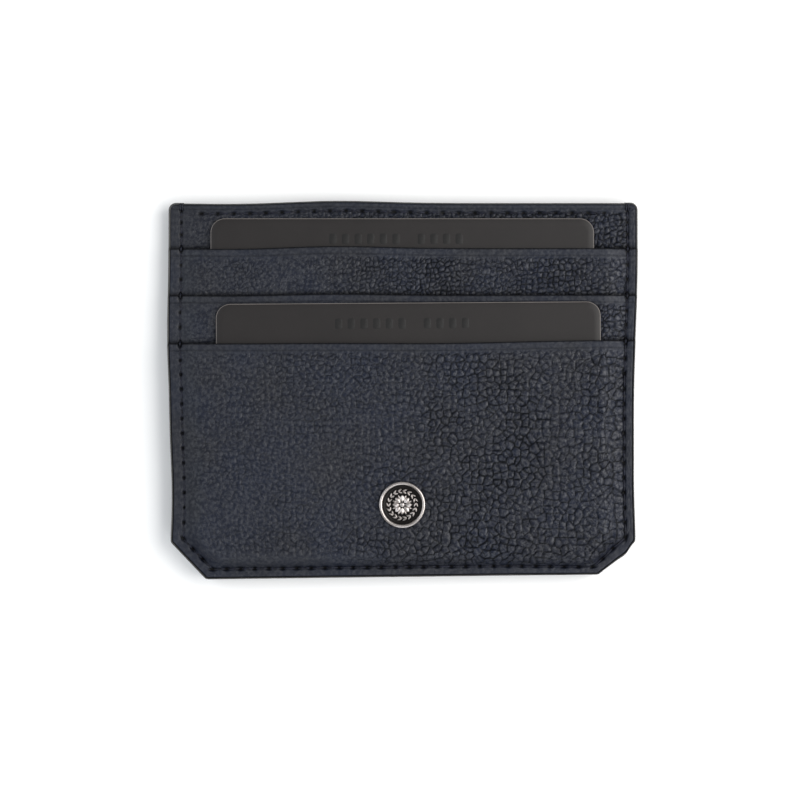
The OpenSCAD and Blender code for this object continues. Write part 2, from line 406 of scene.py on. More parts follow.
def grid_quads(rows, cols, start=0):
    """Numbers of a grid's points, and its quads."""
    at = start + np.arange(rows * cols).reshape(rows, cols)
    quads = np.stack([at[:-1, :-1], at[:-1, 1:], at[1:, 1:], at[1:, :-1]], -1)
    return at, quads.reshape(-1, 4)


def stack_faces(levels, n):
    """A cap below, a cap above, and quads up the sides of a stack of outlines of n points."""
    faces = [tuple(range(n - 1, -1, -1)), tuple(range((levels - 1) * n, levels * n))]
    for low in range(0, (levels - 1) * n, n):
        for k in range(n):
            m = (k + 1) % n
            faces.append((low + k, low + m, low + n + m, low + n + k))
    return faces


def tube_faces(rings, around):
    """The same turned over, for rings of points along a path."""
    return [(f[0], *f[:0:-1]) for f in stack_faces(rings, around)]


ROUNDED_EDGE = (0, 0.05, 0.11, 0.19, 0.28)


def graded(length, fine, fine_to, coarse, from_both=True):
    """Places from 0 to length, closest on the rounded edge, and coarse away from the ends."""
    start = np.concatenate([ROUNDED_EDGE, np.arange(0.4, fine_to, fine)])
    end = length - start[::-1] if from_both else np.array([length])
    count = max(1, int(round((end[0] - start[-1]) / coarse)))
    return np.concatenate([start, np.linspace(start[-1], end[0], count + 1)[1:-1], end])


def picks(places, fine, coarse):
    """Numbers of the places kept on a sheet's inner side, closer together near the seams."""
    keep = [2]
    for i in range(3, len(places) - 3):
        near = min(places[i] - places[0], places[-1] - places[i]) < SEAM_REACH
        if i - keep[-1] >= (fine if near else coarse):
            keep.append(i)
    return np.array(keep + [len(places) - 3])


def flip(faces):
    """The same faces, turned over."""
    return [f[::-1] for f in faces]


def borders(at):
    """The four sides of a grid of numbers, in turn round it."""
    return at[0], at[:, -1], at[-1, ::-1], at[::-1, 0]


def raised(x, y, height):
    """Points over x and y, at a height that is a function of both."""
    return np.stack([x, y, height(x, y)], -1).reshape(-1, 3)


def sheet_mesh(layer, widths, us, ys, top_height, under_height, fine, coarse):
    """A closed sheet over the outline. us runs across from -1 to 1, and the heights are functions
    of x and y. The inner side keeps every coarse-th row and column, or every fine-th near the
    seams. Returns points, faces and the outer side's number of points."""
    yy, uu = np.meshgrid(ys, us, indexing="ij")
    xx = uu * widths(yy)
    top = raised(xx, yy, top_height)
    top_at, quads = grid_quads(*xx.shape)
    faces = quads.tolist()

    rim = np.concatenate([side[:-1] for side in borders(top_at)])
    rim_at = {v: len(top) + i for i, v in enumerate(rim)}
    for side in borders(top_at):
        faces += [(b, a, rim_at[a], rim_at[b]) for a, b in zip(side, side[1:])]

    near = np.ix_(picks(ys, fine, coarse), picks(us * SIDE_X, fine, coarse))
    low_at, quads = grid_quads(*xx[near].shape, len(top) + len(rim))
    faces += flip(quads.tolist())
    for side, inner in zip(borders(top_at), borders(low_at)):
        faces += flip(zip_strips([rim_at[v] for v in side], inner))
    edge = raised(top[rim, 0], top[rim, 1], under_height)
    low = raised(xx[near], yy[near], under_height)
    faces = flip(faces) if layer.face == "back" else faces
    return np.concatenate([top, edge, low]), faces, len(top)


def with_cut_row(ys):
    """The same rows, with the nearest one moved to where the cut corners begin."""
    cut_y = CORNER_CUT - MOUTH_Y
    ys[np.argmin(np.abs(ys - cut_y))] = cut_y
    return ys


def roll(d, r):
    """Drop of a rounded edge at distance d inside it."""
    d = np.clip(d, 0, r)
    return r - np.sqrt(np.maximum(r * r - (r - d) ** 2, 0))


# ---- the leather's surface

EDGE_CREASE = 0.95  # from the outline to the fold's crease
SLOT_CREASE = 1.6  # the same from a slot's edge
CREASE_DEPTH = 0.09
CREASE_W = 0.17
GRAIN_DEPTH = 0.33
PEBBLES = (1.05, 1.05, 1.05, 1.5)  # size of a pebble on each layer
PEBBLE_RUN = 230.0  # length over which pebbles would grow to twice their size
STRAY = 0.55
STRAY_CELL = 1.9
CREASE_CUT = 0.17
FINE_CELL = 0.62
FINE_CUT = 0.11
HOLE_LONG = 0.56
HOLE_WIDE = 0.33
HOLE_REACH = 1.2
HOLE_DEPTH = 1.2
CHANNEL_W = 0.42
CHANNEL_DEPTH = 0.2
SLOT_EDGE_SHADE = 0.45  # width of the painted shade along a slot's edge, for the shadow and the gap there
SLOT_SHADE_REACH = 0.62  # how far the pressed groove and the painted shade reach from the edge of the slot above a layer
SLOT_GROOVE_DEPTH = 0.1


def grain_field(x, y, size, seed):
    """Pebbled grain, 0 in the deepest creases and 1 on the crests. It grows from left to right."""
    x = x + STRAY * (value_noise(x, y, STRAY_CELL, seed + 3) - 0.5)
    y = y + STRAY * (value_noise(x, y, STRAY_CELL, seed + 4) - 0.5)
    cell = size * (1 + x / PEBBLE_RUN)
    run = PEBBLE_RUN * np.log(1 + x / PEBBLE_RUN)
    edge, crease, kind = pebbles(run / size, y / cell, seed + 10)
    edge = edge * cell
    cut = (0.45 + 0.55 * crease) * np.exp(-((edge / CREASE_CUT) ** 1.5))
    dome = 0.25 * (1 - np.sqrt(1 - (1 - np.clip(edge / (0.5 * cell), 0, 1)) ** 2 * 0.98))
    fold = pebbles(x / FINE_CELL, y / FINE_CELL, seed + 20)[0]
    fine = 0.16 * bell(fold * FINE_CELL, FINE_CUT)
    return np.clip(1 - cut - dome - fine * (0.4 + kind) - 0.12 * kind, 0, 1)


def ripen(x, d_edge, d_top, is_base):
    """How strongly the grain shows: it is pressed flat near the edges, farther in on the left."""
    left = smooth((d_edge - 1.6) / 5.5)
    right = smooth((d_edge - 1.5) / 1.6)
    share = smooth((x + 22) / 30)
    start = 1.3 if is_base else SLOT_CREASE + 0.1
    return (left * (1 - share) + right * share) * smooth((d_top - start) / 0.9)


def hole_field(x, y, holes):
    """Depth of the needle holes, 0 to 1. Each is a slit along its row."""
    field = np.zeros(x.shape)
    for hx, hy, run_x, run_y, grow in holes:
        near = (np.abs(x - hx) < HOLE_REACH) & (np.abs(y - hy) < HOLE_REACH)
        dx, dy = x[near] - hx, y[near] - hy
        along, across = dx * run_x + dy * run_y, dy * run_x - dx * run_y
        wide = HOLE_WIDE * min(1.0, grow + 0.15)
        depth = np.exp(-((along / (grow * HOLE_LONG)) ** 2) - (across / wide) ** 2)
        field[near] = np.maximum(field[near], depth)
    return field


def seam_channel(x, y, d_edge, d_top, is_base):
    """The channel that the stitches have pulled into the leather, 0 to 1."""
    side = bell(SIDE_X - np.abs(x) - SIDE_INSET, CHANNEL_W)
    corner = bell(cut_distance(x, y) - (SIDE_INSET + END_INSET) / 2, CHANNEL_W)
    bottom = bell(y + MOUTH_Y - END_INSET, CHANNEL_W)
    low = smooth((d_edge - 1.0) / 0.5)
    channel = np.maximum(np.maximum(side, corner), bottom) * low
    wide = 0.5 * bell(d_edge - SIDE_INSET + 0.2, 1.0) * smooth(d_edge / 0.8)
    channel = np.maximum(channel, wide) * (1 - 0.45 * smooth((-x - MIDDLE_X) / 3))
    if is_base:
        mouth = 0.5 * bell(d_top - MOUTH_INSET, CHANNEL_W) * (np.abs(x) < SLOPE_X)
        channel = np.maximum(channel, mouth)
    return channel


def relief_of(layer, x, y, holes):
    """How much lower each point of a layer's outer side lies, and four channels for its material:
    the grain's height, the painted shade of the holes, the creases, the seam channels and the
    slots' edges, the smooth bands (which also carry a painted sheen), and the pebbles' size as a
    share of the largest."""
    seed = 100 * (layer.index + 1) + (0 if layer.face == "front" else 50)
    is_base = layer.index == 0
    d_edge, d_top = edge_distance(x, y), layer.top_y - y
    ripe = ripen(x, d_edge, d_top, is_base)
    vigour = 0.55 + 0.4 * smooth((x + 50) / 80)
    strength = (0.25 + 0.75 * ripe) * (0.7 + 0.45 * value_noise(x, y, 9.0, seed + 7)) * vigour
    pressed = strength * (1 - grain_field(x, y, PEBBLES[layer.index], seed))
    at_top = EDGE_CREASE if is_base else SLOT_CREASE
    crease = np.maximum(0.2 * bell(d_edge - EDGE_CREASE, 0.15) * smooth(d_top / 0.6),
                        bell(d_top - at_top, CREASE_W))
    band = (1 - smooth((d_top - at_top) / 0.3)) * smooth(d_edge / 0.5)
    band = np.maximum(0.75 * band, 0.8 * (1 - ripe * vigour))
    hole = hole_field(x, y, holes)
    channel = seam_channel(x, y, d_edge, d_top, is_base)
    deep = GRAIN_DEPTH * pressed + CREASE_DEPTH * crease
    deep = deep + CHANNEL_DEPTH * channel + HOLE_DEPTH * hole
    most = layer.t - 0.04
    edge_r = min(0.3, 0.6 * layer.t)
    deep = most * np.tanh(deep / most) + roll(d_edge, edge_r) + roll(d_top, edge_r)
    # Painted shade: the needle holes, the fold's crease and the seam channel are darkened where
    # shade falls in them.
    dark = 1.5 * hole + 0.35 * crease + 0.3 * channel**2
    # Painted shade: each slot's turned edge is darkened for the shadow and gap along it.
    if not is_base:
        dark = dark + 0.9 * (1 - smooth(d_top / SLOT_EDGE_SHADE))
    # Along the edge of the layer above: a shallow pressed groove, and painted shade for the shadow
    # that edge casts.
    if layer.covered_to is not None:
        groove_and_shade = bell(y - layer.covered_to, SLOT_SHADE_REACH)
        deep = deep + SLOT_GROOVE_DEPTH * groove_and_shade
        dark = dark + 0.7 * groove_and_shade
    dark = np.clip(dark, 0, 1)
    size = np.full(x.shape, PEBBLES[layer.index] / max(PEBBLES))
    return deep, np.stack([1 - pressed, dark, band, size], -1).reshape(-1, 4)


def leather_piece(layer, holes, material, visible):
    """The leather of one layer. Its rows are fine down to the depth that shows."""
    widths = mouth_half_width if layer.index == 0 else half_width
    is_outer = layer.index == OUTER
    step = POCKET_GRAIN_STEP if is_outer else GRAIN_STEP
    us = graded(2 * SIDE_X, SEAM_STEP, 3.2, step) / SIDE_X - 1
    up = graded(visible, SEAM_STEP, 2.4, step, from_both=is_outer)
    ys = layer.top_y - up[::-1]
    if not is_outer:
        ys = np.concatenate([np.arange(-MOUTH_Y, ys[0] - 0.6 * HIDDEN_STEP, HIDDEN_STEP), ys])
    ys = with_cut_row(ys)
    channels = []

    def outer_side(x, y):
        deep, colour = relief_of(layer, x, y, holes)
        channels.append(colour)
        return layer.z(layer.under(x, y) + layer.t - deep)

    points, faces, outer = sheet_mesh(layer, widths, us, ys, outer_side, layer.inner_z, 2, 6)
    relief = np.zeros((len(points), 4))
    relief[:, 0] = 1
    relief[:outer] = channels[0]
    make_piece(f"{layer.node}_leather", (points, faces), material, [layer.node],
               relief=relief)


def lining_piece(layer, material):
    """The woven cloth behind a leather layer."""
    top_y = box_mm(layer.lining)[1][1]
    ys = graded(top_y + MOUTH_Y, LINING_SEAM_STEP, SEAM_REACH, LINING_STEP) - MOUTH_Y
    ys = with_cut_row(ys)
    us = graded(2 * SIDE_X, LINING_SEAM_STEP, SEAM_REACH, LINING_STEP) / SIDE_X - 1
    mesh = sheet_mesh(layer, half_width, us, ys, layer.inner_z, layer.lining_z, 1, 1)
    make_piece(f"{layer.lining}_cloth", mesh, material, [layer.lining])


# ---- thread

THREAD_W = 0.17
THREAD_H = 0.18
THREAD_SINK = 0.12  # how deep a stitch has sunk into the leather
PLIES = 3
PLY_SHARE = 0.09  # how much the plies stand out of the thread
HOLE_SHARE = 0.1
STITCH_POINTS = 15
WRAP_POINTS = 23
WRAP_APART = 0.48  # between the two stitches that close each side seam
WRAP_W = 0.2
WRAP_H = 0.17


def directions(path):
    """Which way a path runs at each of its points."""
    run = np.gradient(path, axis=0)
    return run / np.linalg.norm(run, axis=1)[:, None]


def strand(path, radius_w, radius_h, around=18, turns=2.6):
    """A twisted thread along a path of points, with closed ends."""
    path = np.array(path, float)
    run = directions(path)
    side = np.cross(run, [0, 0, 1.0])
    upright = np.linalg.norm(side, axis=1) < 1e-3
    side[upright] = [1.0, 0, 0]
    side /= np.linalg.norm(side, axis=1)[:, None]
    up = np.cross(side, run)
    theta = np.linspace(0, 2 * np.pi, around, endpoint=False)
    s = np.linspace(0, 1, len(path))[:, None]
    size = 1 + PLY_SHARE * np.cos(PLIES * theta - 2 * np.pi * turns * s)
    size = size * (0.35 + 0.65 * np.sin(np.pi * s) ** 0.35)
    across, above = radius_w * size * np.cos(theta), radius_h * size * np.sin(theta)
    points = path[:, None] + side[:, None] * across[..., None] + up[:, None] * above[..., None]
    return points.reshape(-1, 3), tube_faces(len(path), around)


def join(parts):
    """Several meshes as one."""
    points, faces, start = [], [], 0
    for p, f in parts:
        points.append(p)
        faces += [tuple(int(v) + start for v in face) for face in f]
        start += len(p)
    return np.concatenate(points), faces


def stitch(layer, p, q, height, rng):
    """One stitch from hole p to hole q, over leather at that height: it dives in at both ends."""
    s = np.linspace(0, 1, STITCH_POINTS)
    slant = rng.uniform(0.03, 0.1)
    p, q = p + (q - p) * HOLE_SHARE, q - (q - p) * HOLE_SHARE
    run = q - p
    normal = np.array([-run[1], run[0]]) / np.linalg.norm(run)
    xy = p + run * s[:, None] + normal * (slant * np.sin(2 * np.pi * (s - 0.5)) * 0.5)[:, None]
    dive = THREAD_SINK + 0.4 * (1 - np.sin(np.pi * s) ** 0.45)
    z = layer.z(height - dive + rng.uniform(-0.01, 0.01))
    return strand(np.column_stack([xy, z]), THREAD_W, THREAD_H)


def row_stitches(layer, holes, height, rng):
    return [stitch(layer, holes[i], holes[i + 1], height, rng) for i in range(len(holes) - 1)]


def seam_height(layer):
    """Height of a layer's outer side in the seam band."""
    return layer.under_seam + layer.t


def edge_stitch_parts(layers, rows, rng):
    """All stitches of one face's seam, with a short one over each slot's edge."""
    parts = []
    for index, holes in rows:
        parts += row_stitches(layers[index], holes, seam_height(layers[index]), rng)
    for side in (-1, 1):
        x = side * (SIDE_X - SIDE_INSET)
        for i in range(1, OUTER + 1):
            parts.append(step_stitch(layers, i, x))
    return parts


def step_stitch(layers, i, x):
    """The stitch that runs over the edge of layer i down to the layer below."""
    upper, lower = layers[i], layers[i - 1]
    high, low = seam_height(upper), seam_height(lower)
    s = np.linspace(0, 1, STITCH_POINTS)
    height = high + (low - high) * smooth((s - 0.5) / 0.3) + 0.06
    height -= 0.35 * (1 - np.sin(np.pi * s) ** 0.4)
    y = upper.top_y + (2 * s - 1) * STEP_REACH
    return strand(np.column_stack([0 * s + x, y, upper.z(height)]), THREAD_W, THREAD_H)


def mouth_wraps():
    """The side seams' last stitches, sewn twice over the mouth's edge, from front to back."""
    height = seam_height(LAYERS["front"][0]) + 0.06
    s = np.linspace(-1, 1, WRAP_POINTS)
    reach = np.maximum(0, np.abs(s) - 0.35) / 0.65
    y = MOUTH_Y + 0.14 - 1.5 * reach**1.2
    height = height - 0.4 * smooth((np.abs(s) - 0.8) / 0.2)
    z = PLANE_Z + np.sign(s) * height * np.minimum(1, np.abs(s) / 0.35)
    parts = []
    for side in (-1, 1):
        for beside in (-WRAP_APART / 2, WRAP_APART / 2):
            x = side * (SIDE_X - SIDE_INSET) + beside
            parts.append(strand(np.column_stack([0 * s + x, y, z]), WRAP_W, WRAP_H))
    return parts


# ---- painted edges


def outline_path():
    """The outline from the mouth's left end, down, along the bottom and up to the right end."""
    arc = [(MOUTH_R * (1 - math.sin(a)), MOUTH_R * (1 - math.cos(a)))
           for a in np.linspace(0, math.pi / 2, 7)]
    left = [(-SLOPE_X, MOUTH_Y)] + [(-SIDE_X + u, MOUTH_Y - v) for u, v in arc]
    left += [(-SIDE_X, CORNER_CUT - MOUTH_Y), (CORNER_CUT - SIDE_X, -MOUTH_Y)]
    right = [(-x, y) for x, y in reversed(left)]
    return left + right


def resample(path, step):
    """The same path with its points about one step apart."""
    path = np.array(path, float)
    lengths = np.concatenate([[0], np.cumsum(np.linalg.norm(np.diff(path, axis=0), axis=1))])
    places = np.linspace(0, lengths[-1], int(lengths[-1] / step))
    return np.column_stack([np.interp(places, lengths, path[:, k]) for k in (0, 1)])


JOINT_W = 0.11
JOINT_DIP = 0.27
PAINT_SHY = 0.02  # how far the paint stays from the leather's outer side
EDGE_STEP = 0.45
MOUTH_EDGE_STEP = 0.6


def painted_band(path, low_high, inset=0.42, joints=(), around=13):
    """A rounded band of edge paint swept along a path, between two heights at each point. It
    reaches in by inset, and dips a little over each joint between layers."""
    run = directions(path)
    outward = np.column_stack([-run[:, 1], run[:, 0]])
    theta = np.linspace(math.pi / 2, -math.pi / 2, around)
    out = np.cos(theta).clip(0, 1) ** 0.5
    up = np.sign(np.sin(theta)) * np.abs(np.sin(theta)) ** 0.5
    points = []
    for i, (x, y) in enumerate(path):
        low, high = low_high(x, y)
        wave = 0.04 * (value_noise(x, y, 4.0, 77) - 0.5)
        z = (low + high) / 2 + (high - low) / 2 * up
        dip = sum(bell(z - joint, JOINT_W) for joint in joints) * JOINT_DIP
        dip = dip * value_noise(x, y, 2.6, 78) * smooth((out - 0.4) / 0.3)
        reach = -inset + (inset + wave) * out - dip
        ring = [x + outward[i, 0] * reach, y + outward[i, 1] * reach, z]
        points.append(np.column_stack(ring))
    return np.concatenate(points), tube_faces(len(path), around)


def stack_height(face, y):
    """Height of the seam's stack on one face at y, with short steps at the slots' edges."""
    layers = LAYERS[face]
    height = seam_height(layers[0])
    for i in range(1, OUTER + 1):
        step = seam_height(layers[i]) - seam_height(layers[i - 1])
        height += step * float(smooth((layers[i].top_y + 0.1 - y) / 0.35))
    return height


def stack_low_high(x, y):
    """Lowest and highest point of the paint on the outline."""
    low, high = PLANE_Z - stack_height("back", y), PLANE_Z + stack_height("front", y)
    return low + PAINT_SHY, high - PAINT_SHY


def mouth_low_high(face):
    """The same for one face's edge at the mouth, as a function of x and y."""
    layer = LAYERS[face][0]

    def low_high(x, y):
        inner = float(layer.under(x, y)) - layer.lining_t
        outer = inner + layer.lining_t + layer.t
        ends = layer.z(inner + PAINT_SHY), layer.z(outer - PAINT_SHY)
        return min(ends), max(ends)

    return low_high


# ---- materials

BLACK = (0, 0, 0)
WHITE = (1, 1, 1)
NAVY = (0.0022, 0.0047, 0.0146)
NAVY_GREY = (0.0039, 0.0051, 0.0112)
# darker colours of the painted shade in the grain's creases
CREASE_SHADE_LOW = (0.0012, 0.0016, 0.0026)
CREASE_SHADE_HIGH = (0.0024, 0.003, 0.0045)
# lighter grey of the smooth bands: a painted sheen
BAND_SHEEN_GREY = (0.005, 0.0066, 0.0082)
# near black of the painted shade
SHADE_BLACK = (0.0005, 0.0005, 0.0008)
GLINT_GREY = (0.45, 0.45, 0.45)
PEBBLE_SCALE = 660.0  # of the crease cells where the pebbles are largest
BUMP_FINE = 0.00003
BUMP_MID = 0.00004
BUMP_COARSE = 0.00008


class Nodes:
    """A short way to write a material's node tree."""

    def __init__(self, name):
        self.material = bpy.data.materials.new(name)
        self.material.use_nodes = True
        self.tree = self.material.node_tree
        self.shader = self.tree.nodes["Principled BSDF"]

    def put(self, value, socket):
        """Links a node's output to a socket, or gives the socket a plain value."""
        if hasattr(value, "is_linked"):
            self.tree.links.new(value, socket)
        else:
            socket.default_value = value

    def fill(self, node, **values):
        """Sets a node's sockets and its settings, by their names."""
        for key, value in values.items():
            name = key.replace("_", " ")
            if name in node.inputs:
                self.put(value, node.inputs[name])
            else:
                setattr(node, key, value)
        return node

    def add(self, kind, **values):
        return self.fill(self.tree.nodes.new("ShaderNode" + kind), **values)

    def set(self, **values):
        self.fill(self.shader, **values)

    def place(self):
        return self.add("TexCoord").outputs["Object"]

    def noise(self, scale, detail=3.0, roughness=0.5):
        node = self.add("TexNoise", Vector=self.place(), Scale=scale, Detail=detail,
                        Roughness=roughness)
        return node.outputs["Fac"]

    def folds(self, scale, stray, width):
        """Fine creases: 0 along the crooked edges of cells and 1 inside them."""
        wander = self.add("TexNoise", Vector=self.place(), Scale=700.0, Detail=1.0)
        shift = self.add("VectorMath", operation="SCALE", Vector=wander.outputs["Color"],
                         Scale=stray)
        moved = self.add("VectorMath", operation="ADD", Vector=self.place())
        self.put(shift.outputs[0], moved.inputs[1])
        cells = self.add("TexVoronoi", feature="DISTANCE_TO_EDGE", Vector=moved.outputs[0],
                         Scale=scale)
        return self.ramp(cells.outputs["Distance"], (0.0, BLACK), (width, WHITE))

    def ramp(self, fac, *stops):
        """A ramp of colours, from stops of a place and a colour."""
        node = self.add("ValToRGB", Fac=fac)
        for element, (place, colour) in zip(node.color_ramp.elements, stops):
            element.position, element.color = place, (*colour, 1)
        return node.outputs["Color"]

    def mix(self, fac, a, b):
        """a where fac is 0 and the colour b where it is 1."""
        node = self.add("Mix", data_type="RGBA")
        self.put(fac, node.inputs[0])
        self.put(a, node.inputs[6])
        self.put((*b, 1) if isinstance(b, tuple) else b, node.inputs[7])
        return node.outputs[2]

    def math(self, operation, a, b):
        node = self.add("Math", operation=operation)
        self.put(a, node.inputs[0])
        self.put(b, node.inputs[1])
        return node.outputs[0]

    def times(self, a, b):
        return self.math("MULTIPLY", a, b)

    def less(self, value):
        """What is left of 1."""
        return self.math("SUBTRACT", 1.0, value)

    def span(self, value, low, high):
        """A value from 0 to 1, brought between two others."""
        return self.add("MapRange", Value=value, To_Min=low, To_Max=high).outputs["Result"]

    def bump(self, height, strength, distance, **under):
        node = self.add("Bump", Height=height, Strength=strength, Distance=distance, **under)
        return node.outputs["Normal"]


def leather_material():
    """Navy leather that follows the four channels of the mesh's relief."""
    n = Nodes("navy_leather")
    relief = n.add("Attribute", attribute_name="relief")
    grain, dark, band = n.add("SeparateColor", Color=relief.outputs["Color"]).outputs
    tint = n.ramp(n.noise(90, 3), (0.36, NAVY), (0.64, NAVY_GREY))
    # Painted shade: the colour goes darker in the grain's creases and the fine folds.
    valley_shade = n.ramp(n.noise(900, 2), (0.3, CREASE_SHADE_LOW), (0.7, CREASE_SHADE_HIGH))
    folds = n.folds(n.math("DIVIDE", PEBBLE_SCALE, relief.outputs["Alpha"]), 0.0007, 0.088)
    gap = n.times(n.less(folds), n.less(band))
    gap = n.times(gap, n.span(n.noise(650, 2), -0.1, 1.35))
    folds = n.less(n.math("MAXIMUM", gap, 0.0))
    depth = n.ramp(grain, (0.15, BLACK), (0.7, WHITE))
    depth = n.times(depth, n.span(folds, 0.3, 1.0))
    colour = n.mix(depth, valley_shade, tint)
    # Painted sheen: the smooth bands are coloured a lighter grey.
    colour = n.mix(n.times(band, 0.25), colour, BAND_SHEEN_GREY)
    # Painted shade: the relief's dark channel turns the holes, creases, seam channels and slot
    # edges near black.
    n.set(Base_Color=n.mix(dark, colour, SHADE_BLACK))
    rough = n.span(n.noise(1500, 2), 0.37, 0.5)
    rough = n.math("ADD", rough, n.times(n.less(grain), 0.25))
    n.set(Roughness=n.math("ADD", rough, n.times(band, 0.12)))
    fine = n.bump(n.noise(5200, 3, 0.6), 0.25, BUMP_MID)
    pores = n.bump(n.folds(2500, 0.0002, 0.18), 0.3, BUMP_MID, Normal=fine)
    n.set(Normal=n.bump(folds, 0.8, 0.0001, Normal=pores))
    # The shine is lowered in the creases and under the painted shade as well: painted shade of the
    # reflections.
    lit = n.times(depth, n.less(dark))
    glint = n.ramp(n.noise(1300, 3), (0.4, BLACK), (0.62, WHITE))
    glint = n.mix(n.times(band, 0.7), glint, GLINT_GREY)
    n.set(Specular_IOR_Level=n.times(n.span(lit, 0.09, 0.35), n.span(glint, 0.55, 1.6)))
    return n.material


def noisy_material(name, colour, rough, bump, **values):
    """A material whose colour, roughness and bump each follow a noise. Each is given as the
    noise's settings with two stops of a ramp, a range, or a strength and a depth."""
    n = Nodes(name)
    looks = {"Base_Color": (n.ramp, colour), "Roughness": (n.span, rough), "Normal": (n.bump, bump)}
    for key, (node, (noise, first, second)) in looks.items():
        values[key] = node(n.noise(*noise), first, second)
    n.set(**values)
    return n.material


def paint_material():
    return noisy_material(
        "edge_paint",
        colour=((260, 3), (0.3, (0.015, 0.0148, 0.0146)), (0.7, (0.027, 0.0262, 0.0255))),
        rough=((900, 2), 0.38, 0.6),
        bump=((1400, 4, 0.6), 0.35, BUMP_COARSE))


def thread_material():
    return noisy_material(
        "navy_thread",
        colour=((1800, 2), (0.35, (0.0022, 0.0026, 0.005)), (0.68, (0.011, 0.0125, 0.024))),
        rough=((2600, 2), 0.45, 0.65),
        bump=((6000, 3, 0.7), 0.4, BUMP_MID),
        Specular_IOR_Level=0.22)


def nickel_material():
    return noisy_material(
        "polished_nickel",
        colour=((500, 3), (0.3, (0.34, 0.312, 0.298)), (0.7, (0.45, 0.416, 0.4))),
        rough=((1600, 4, 0.7), 0.2, 0.36),
        bump=((3000, 4, 0.7), 0.12, BUMP_FINE),
        Metallic=1.0)


def enamel_material():
    return noisy_material(
        "dark_enamel",
        colour=((1400, 3), (0.3, (0.0012, 0.0008, 0.0007)), (0.7, (0.0035, 0.0024, 0.002))),
        rough=((2500, 3), 0.3, 0.5),
        bump=((2800, 3, 0.6), 0.3, BUMP_MID),
        Specular_IOR_Level=0.12)


def card_material(name, low, high):
    return noisy_material(
        name,
        colour=((120, 3), (0.35, low), (0.65, high)),
        rough=((1500, 3), 0.4, 0.52),
        bump=((4200, 3, 0.6), 0.18, BUMP_FINE),
        Specular_IOR_Level=0.33)


def lining_material():
    """Cloth with a twill weave, from two crossed waves."""
    n = Nodes("twill_lining")
    heights = []
    for direction in ("DIAGONAL", "Y"):
        wave = n.add("TexWave", wave_type="BANDS", bands_direction=direction, Vector=n.place(),
                     Scale=900.0, Distortion=0.4, Detail=1.0)
        heights.append(wave.outputs["Fac"])
    weave = n.times(*heights)
    colour = n.ramp(weave, (0.1, (0.006, 0.007, 0.009)), (0.8, (0.02, 0.022, 0.027)))
    rough = n.span(n.noise(700, 2), 0.75, 0.95)
    n.set(Base_Color=colour, Roughness=rough, Normal=n.bump(weave, 0.6, BUMP_COARSE),
          Sheen_Weight=0.2)
    return n.material


def floor_material():
    n = Nodes("pale_floor")
    colour = n.ramp(n.noise(3, 2), (0.3, (0.775, 0.775, 0.775)), (0.7, (0.795, 0.795, 0.795)))
    n.set(Base_Color=colour, Roughness=0.9, Specular_IOR_Level=0.1)
    return n.material


# ---- badge


def lathe(profile, segments=96):
    """A closed solid turned about Z from (radius, height) points that start and end on Z."""
    theta = np.linspace(0, 2 * np.pi, segments, endpoint=False)
    points = [(0, 0, profile[0][1])]
    for r, z in profile[1:-1]:
        points += [(r * math.cos(a), r * math.sin(a), z) for a in theta]
    last = len(points) - segments
    points.append((0, 0, profile[-1][1]))
    faces = []
    for k in range(segments):
        m = (k + 1) % segments
        faces.append((0, 1 + m, 1 + k))
        for low in range(1, last, segments):
            high = low + segments
            faces.append((low + k, low + m, high + m, high + k))
        faces.append((last + k, last + m, len(points) - 1))
    return np.array(points), faces


def arc_points(cx, cz, r, start, end, count):
    """Points on an arc, with its angles in degrees."""
    angles = np.radians(np.linspace(start, end, count))
    return [(cx + r * math.cos(a), cz + r * math.sin(a)) for a in angles]


BADGE_LOW, BADGE_HIGH = box_mm("badge_rim")
FIELD_LOW, FIELD_HIGH = box_mm("badge_field")
ROSETTE_HIGH = box_mm("badge_rosette")[1]
BADGE_R = (BADGE_HIGH[0] - BADGE_LOW[0]) / 2
FIELD_R = (FIELD_HIGH[0] - FIELD_LOW[0]) / 2
POST_R = 1.0
BADGE_LIFT = 0.22  # the badge rides on the outer pocket's swell
BADGE_AT = np.array([0, (BADGE_LOW[1] + BADGE_HIGH[1]) / 2, BADGE_LIFT])
WALL_R = FIELD_R + 0.14  # of the rim's inner wall
PLATE_T = 0.35
DISH = 0.03  # how much lower the enamel lies at its middle


def badge_rim_mesh():
    """Dished plate with a rounded rim, a stepped inner wall and a post below."""
    bottom = FIELD_LOW[2] - PLATE_T
    rim_r = (BADGE_R - WALL_R) / 2
    top = BADGE_HIGH[2] - rim_r
    profile = [(0, BADGE_LOW[2]), (POST_R, BADGE_LOW[2]), (POST_R, bottom)]
    profile += [(BADGE_R - 0.12, bottom), (BADGE_R, bottom + 0.12), (BADGE_R, top)]
    profile += arc_points(BADGE_R - rim_r, top, rim_r, 8, 172, 16)
    profile += [(WALL_R, FIELD_LOW[2]), (0, FIELD_LOW[2])]
    return lathe(profile)


def badge_field_mesh():
    """The enamel, dished a little, with a fine raised ring near its edge."""
    low, high = FIELD_LOW[2], FIELD_HIGH[2]
    r = WALL_R - 0.02
    floor = high - 0.05
    profile = [(0, low), (r, low), (r, high - 0.03)]
    profile += [(r - 0.08, high), (r - 0.3, high), (r - 0.36, floor)]
    profile += [(r * k, floor - DISH * (1 - k * k)) for k in (0.8, 0.6, 0.4, 0.2)]
    profile.append((0, floor - DISH))
    return lathe(profile)


